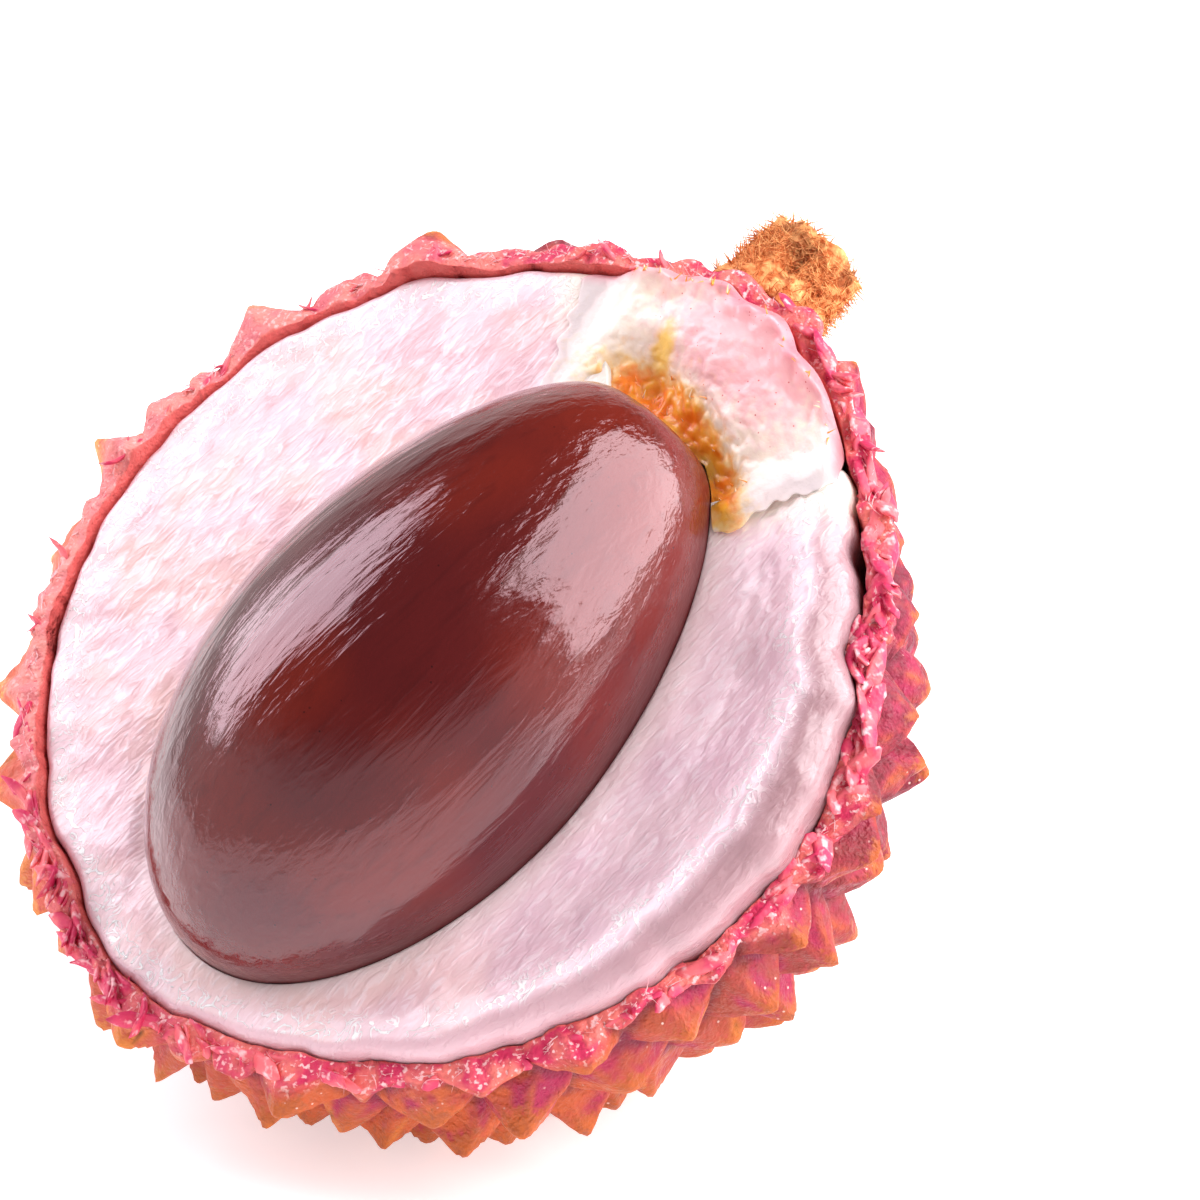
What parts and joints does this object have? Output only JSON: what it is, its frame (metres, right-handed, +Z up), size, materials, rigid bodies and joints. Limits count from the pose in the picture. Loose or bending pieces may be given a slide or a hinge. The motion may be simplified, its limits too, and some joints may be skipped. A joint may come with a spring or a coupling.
{
  "type": "lychee half",
  "caption": "Lychee cut open lengthwise: half a spiny rind holding a bowl of translucent flesh with the whole glossy seed standing in it, and a stub of stalk.",
  "frame": {"origin": "middle of the small flat spot on the back of the rind, which the half rests on", "axes": "+Z up from the surface it rests on; the cut face looks up and towards -Y, a little towards -X, and the stem end is up on the +X side"},
  "size_m": [0.0366, 0.0337, 0.0304],
  "materials": {
    "rind": "dry, matt, magenta-red with orange-brown tips",
    "flesh": "wet, translucent, white with a lilac tint",
    "seed": "polished dark red-brown",
    "pith": "damp, cream-white, torn and orange beside the seed",
    "stalk": "dry, fibrous, orange-brown"
  },
  "bodies": {
    "root": {"rind": "rind", "flesh": "flesh", "seed": "seed", "pith": "pith", "stalk_stub": "stalk"}
  },
  "joints": []
}
